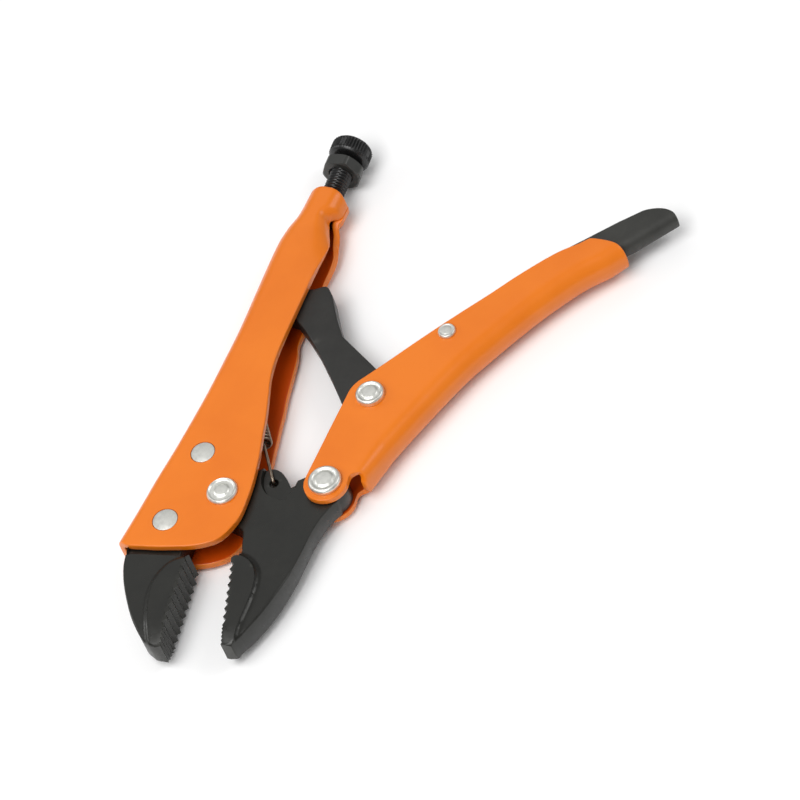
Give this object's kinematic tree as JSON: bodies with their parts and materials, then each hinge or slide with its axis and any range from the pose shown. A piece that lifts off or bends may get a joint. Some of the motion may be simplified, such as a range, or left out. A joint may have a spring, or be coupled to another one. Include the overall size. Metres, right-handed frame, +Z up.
{
  "type": "locking_pliers",
  "caption": "Small locking pliers with orange folded-sheet handles, black forged jaws, a toggle link, a release lever and a knurled adjusting screw, lying open on their side",
  "frame": {"origin": "where the jaw pivot's axis meets the table, on the lower head of the jaw pivot rivet", "axes": "+X runs from the jaws towards the adjusting screw, +Y from the lower handle towards the main handle's spine, and +Z up, through the thickness of the tool as it lies on its side"},
  "size_m": [0.1355, 0.0856, 0.0104],
  "materials": {
    "orange_paint": "glossy orange enamel over folded steel sheet, thin at the edges",
    "black_forging": "black oxide on forged and stamped steel, satin and slightly grainy",
    "bright_rivet": "bright nickel-plated rivets with lightly turned heads",
    "black_screw": "black oxide on a turned and knurled screw and its nut",
    "spring_wire": "drawn spring wire, brownish grey with oil"
  },
  "bodies": {
    "main_handle": {"main_handle": "orange_paint", "fixed_jaw": "black_forging", "fixed_jaw_rivet_front": "bright_rivet", "fixed_jaw_rivet_rear": "bright_rivet", "jaw_pivot_rivet": "bright_rivet", "return_spring": "spring_wire"},
    "moving_jaw": {"moving_jaw": "black_forging"},
    "lower_handle": {"lower_handle": "orange_paint", "handle_pivot_rivet": "bright_rivet", "link_pivot_rivet": "bright_rivet", "release_pivot_rivet": "bright_rivet"},
    "toggle_link": {"toggle_link": "black_forging"},
    "release_lever": {"release_lever": "black_forging"},
    "lock_nut": {"lock_nut": "black_screw"},
    "adjusting_screw": {"adjusting_screw": "black_screw"}
  },
  "joints": [
    {"name": "jaw_pivot", "type": "hinge", "parent": "main_handle", "child": "moving_jaw", "pos_m": [0, 0, 0.00505], "axis": [0, 0, 1], "range_deg": [-19, 0], "deforming": ["return_spring"]},
    {"name": "handle_pivot", "type": "hinge", "parent": "moving_jaw", "child": "lower_handle", "pos_m": [0.00736, -0.02063, 0.00505], "axis": [0, 0, 1], "range_deg": [0, 51.35]},
    {"name": "link_pivot", "type": "hinge", "parent": "lower_handle", "child": "toggle_link", "pos_m": [0.03037, -0.02119, 0.00505], "axis": [0, 0, 1], "range_deg": [-54.77, 0]},
    {"name": "release_pivot", "type": "hinge", "parent": "lower_handle", "child": "release_lever", "pos_m": [0.0496, -0.0309, 0.00505], "axis": [0, 0, 1], "range_deg": [-1, 6]},
    {"name": "screw_feed", "type": "slide", "parent": "main_handle", "child": "lock_nut", "axis": [0.998, 0.0628, 0], "range_m": [-0.006, 0.008]},
    {"name": "screw_turn", "type": "hinge", "parent": "lock_nut", "child": "adjusting_screw", "pos_m": [0.09518, 0.01279, 0.00505], "axis": [0.998, 0.0628, 0], "range_deg": [-2701, 3601]}
  ],
  "couplings": [
    {"joint": "handle_pivot", "follows": "jaw_pivot", "ratio": -2.7},
    {"joint": "link_pivot", "follows": "jaw_pivot", "ratio": 2.88},
    {"joint": "screw_turn", "follows": "screw_feed", "rad_per_m": 7854}
  ]
}
